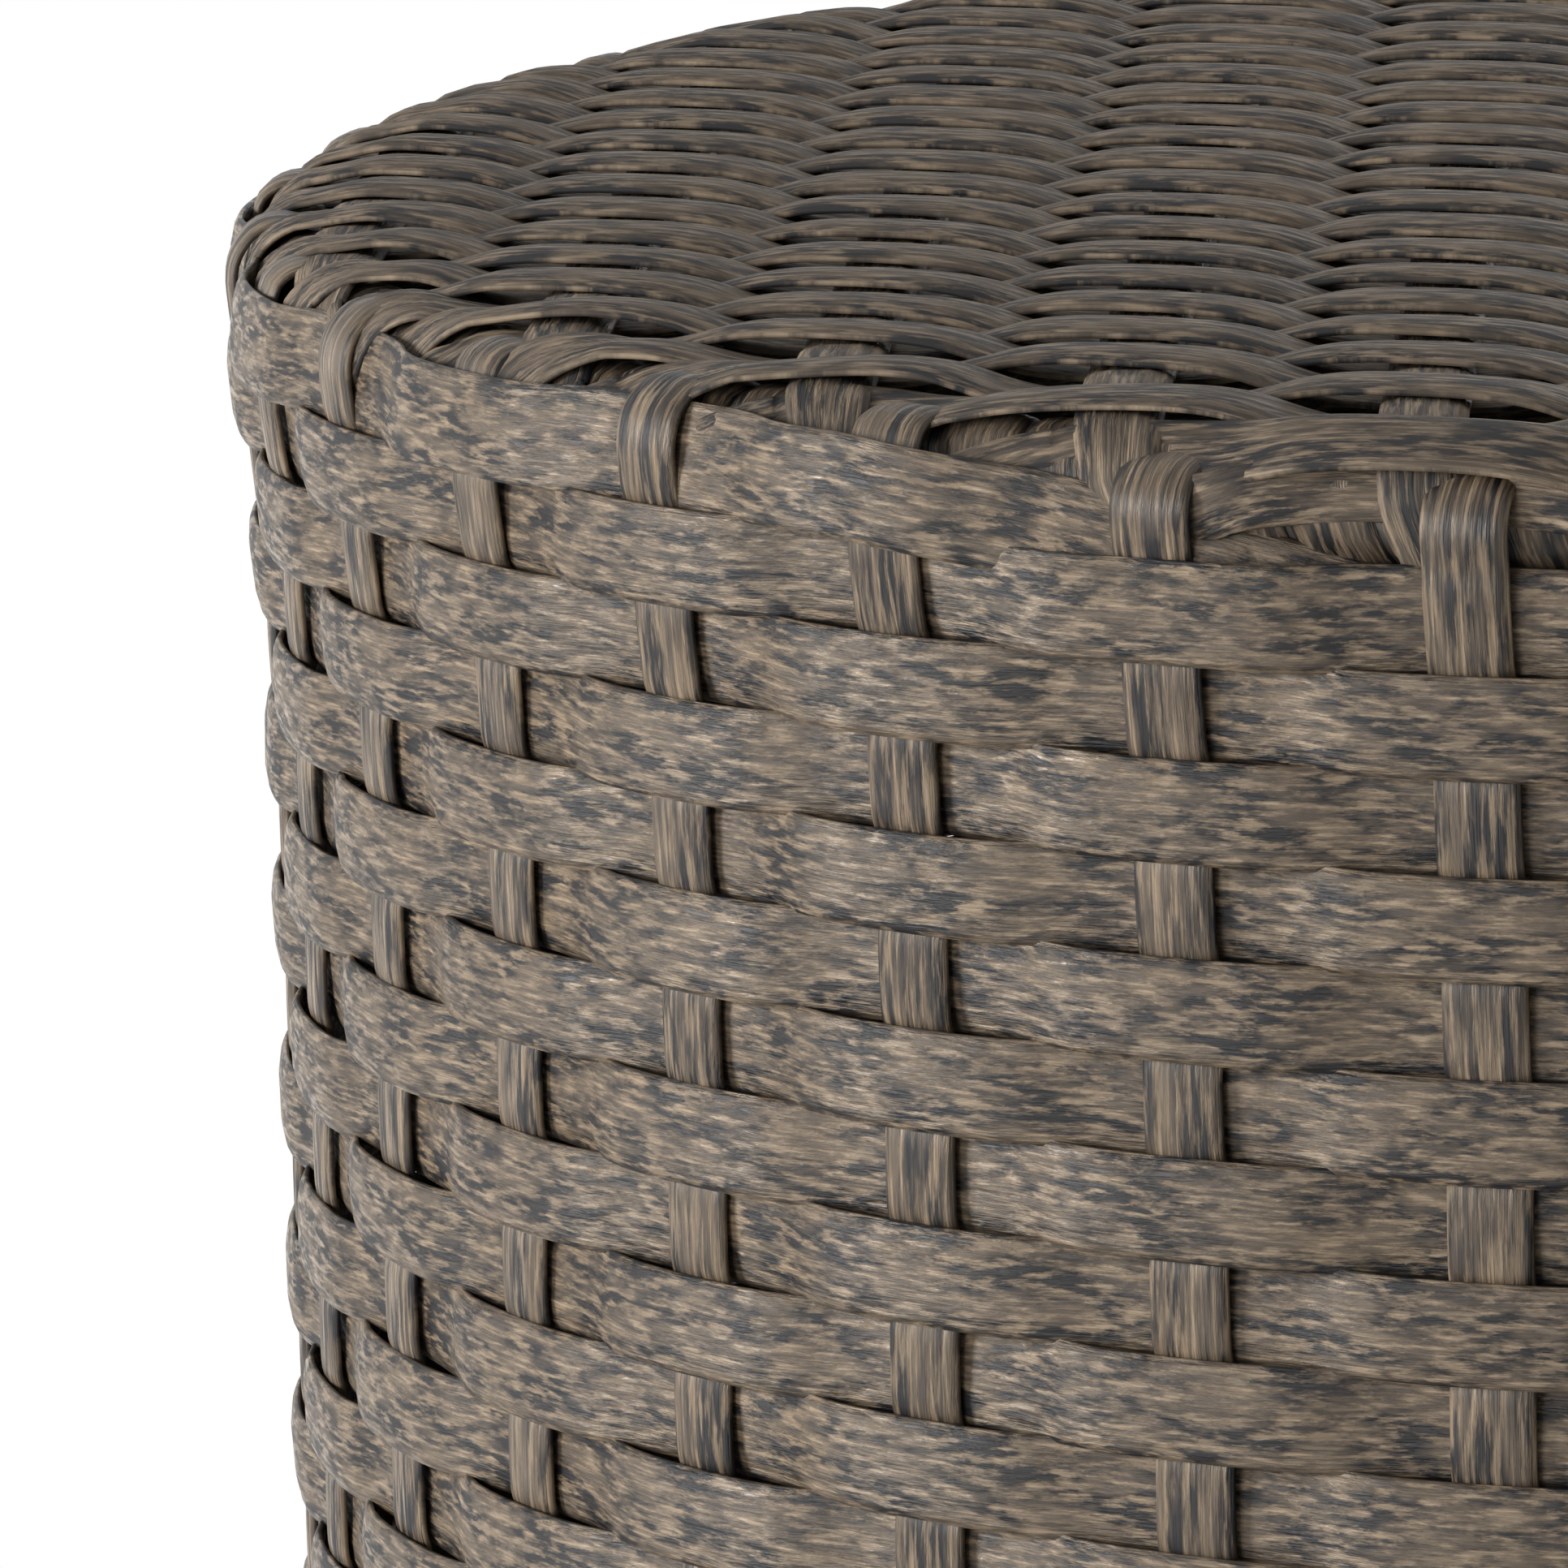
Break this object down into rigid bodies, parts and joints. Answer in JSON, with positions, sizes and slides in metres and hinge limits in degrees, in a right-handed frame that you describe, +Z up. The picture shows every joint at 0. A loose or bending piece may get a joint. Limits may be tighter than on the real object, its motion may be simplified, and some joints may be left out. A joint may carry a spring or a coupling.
{
  "type": "wicker side table",
  "caption": "Round drum side table woven from flat streaked brown wicker strip over a hoop frame, with a flat woven top and levelling feet.",
  "frame": {"origin": "on the floor under the table's centre, feet screwed right in", "axes": "+Z up through the drum's axis, -Y towards the pictured side, +X to its right"},
  "size_m": [0.4188, 0.4185, 0.45],
  "materials": {
    "wicker": "streaked satin extruded strip",
    "frame_aluminium": "brown-grey powder coat",
    "zinc_steel": "zinc plated",
    "insert_nylon": "moulded",
    "foot_plastic": "moulded"
  },
  "bodies": {
    "table": {"wall_weave": "wicker", "rim_weaver": "wicker", "wall_stakes": "wicker", "top_weave": "wicker", "top_warps": "wicker", "bottom_border": "wicker", "hoop_top": "frame_aluminium", "hoop_middle": "frame_aluminium", "hoop_bottom": "frame_aluminium", "cross_rod_long": "frame_aluminium", "cross_rod_back": "frame_aluminium", "cross_rod_front": "frame_aluminium", "lock_nuts": "zinc_steel", "post_1": "frame_aluminium", "post_2": "frame_aluminium", "post_3": "frame_aluminium", "post_4": "frame_aluminium", "tube_insert_1": "insert_nylon", "tube_insert_2": "insert_nylon", "tube_insert_3": "insert_nylon", "tube_insert_4": "insert_nylon"},
    "foot_1": {"foot_pad_1": "foot_plastic", "foot_stud_1": "zinc_steel"},
    "foot_2": {"foot_pad_2": "foot_plastic", "foot_stud_2": "zinc_steel"},
    "foot_3": {"foot_pad_3": "foot_plastic", "foot_stud_3": "zinc_steel"},
    "foot_4": {"foot_pad_4": "foot_plastic", "foot_stud_4": "zinc_steel"}
  },
  "joints": [
    {"name": "foot_1_screw", "type": "slide", "parent": "table", "child": "foot_1", "axis": [0, 0, -1], "range_m": [0, 0.012]},
    {"name": "foot_2_screw", "type": "slide", "parent": "table", "child": "foot_2", "axis": [0, 0, -1], "range_m": [0, 0.012]},
    {"name": "foot_3_screw", "type": "slide", "parent": "table", "child": "foot_3", "axis": [0, 0, -1], "range_m": [0, 0.012]},
    {"name": "foot_4_screw", "type": "slide", "parent": "table", "child": "foot_4", "axis": [0, 0, -1], "range_m": [0, 0.012]}
  ]
}
